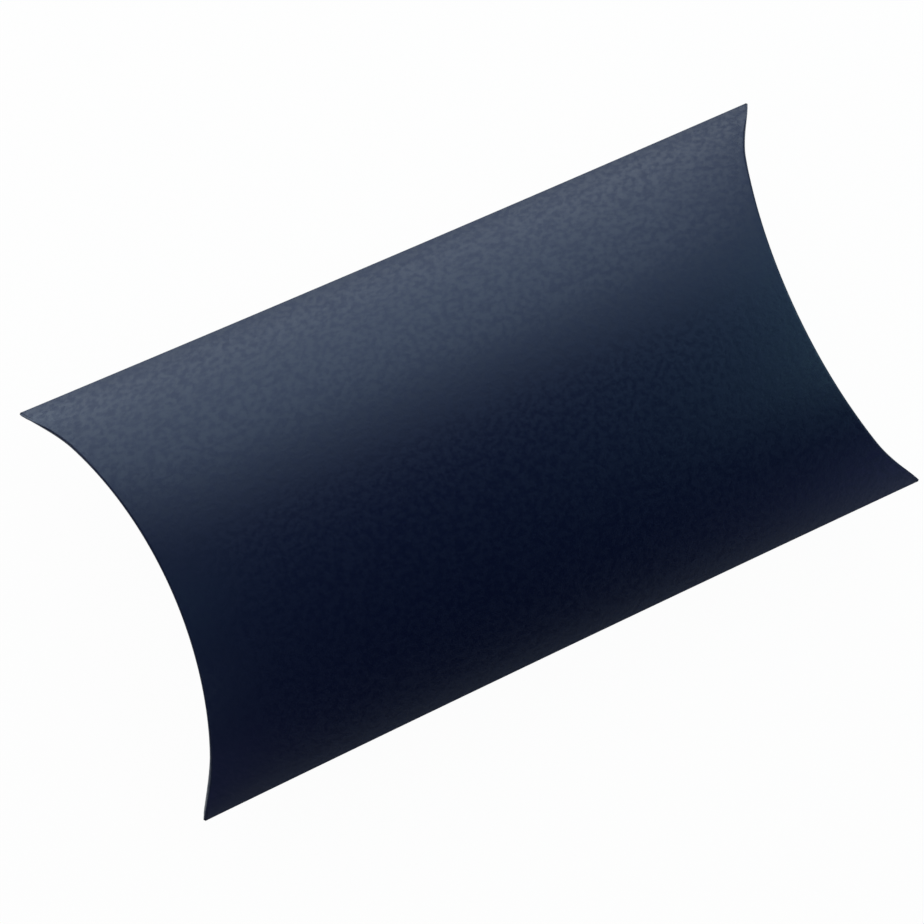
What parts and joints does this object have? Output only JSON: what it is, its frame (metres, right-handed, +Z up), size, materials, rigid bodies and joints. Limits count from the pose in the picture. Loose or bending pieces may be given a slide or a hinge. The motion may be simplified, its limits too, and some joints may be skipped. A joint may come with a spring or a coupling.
{
  "type": "pillow box",
  "caption": "Small gift box of one creased card sheet: two bowed panels joined along both long folds, each end closed by an outer and an inner flap on curved creases.",
  "frame": {"origin": "under the middle of the box, on the surface that the crest of the lower panel rests on", "axes": "+X along the two long folds, +Y across them towards the plain fold (the glued seam is on the -Y side), +Z up through both panels' crests"},
  "size_m": [0.1298, 0.0708, 0.025],
  "materials": {
    "navy_card": "satin",
    "glue": "satin"
  },
  "bodies": {
    "sleeve": {"top_panel": "navy_card", "bottom_panel": "navy_card", "fold_crease": "navy_card", "seam_crease": "navy_card", "seam_flap": "navy_card", "glue_line": "glue", "left_outer_crease": "navy_card", "left_inner_crease": "navy_card", "right_outer_crease": "navy_card", "right_inner_crease": "navy_card"},
    "left_outer_flap": {"left_outer_flap": "navy_card"},
    "left_inner_flap": {"left_inner_flap": "navy_card"},
    "right_outer_flap": {"right_outer_flap": "navy_card"},
    "right_inner_flap": {"right_inner_flap": "navy_card"}
  },
  "joints": [
    {"name": "left_outer_hinge", "type": "hinge", "parent": "sleeve", "child": "left_outer_flap", "pos_m": [-0.0525, 0, 0.025], "axis": [0, 1, 0], "range_deg": [0, 90]},
    {"name": "left_inner_hinge", "type": "hinge", "parent": "sleeve", "child": "left_inner_flap", "pos_m": [-0.0518, 0, 0], "axis": [0, -1, 0], "range_deg": [0, 45]},
    {"name": "right_outer_hinge", "type": "hinge", "parent": "sleeve", "child": "right_outer_flap", "pos_m": [0.0525, 0, 0.025], "axis": [0, -1, 0], "range_deg": [0, 90]},
    {"name": "right_inner_hinge", "type": "hinge", "parent": "sleeve", "child": "right_inner_flap", "pos_m": [0.0518, 0, 0], "axis": [0, 1, 0], "range_deg": [0, 45]}
  ],
  "couplings": [
    {"joint": "left_inner_hinge", "follows": "left_outer_hinge", "ratio": 0.5},
    {"joint": "right_inner_hinge", "follows": "right_outer_hinge", "ratio": 0.5}
  ]
}
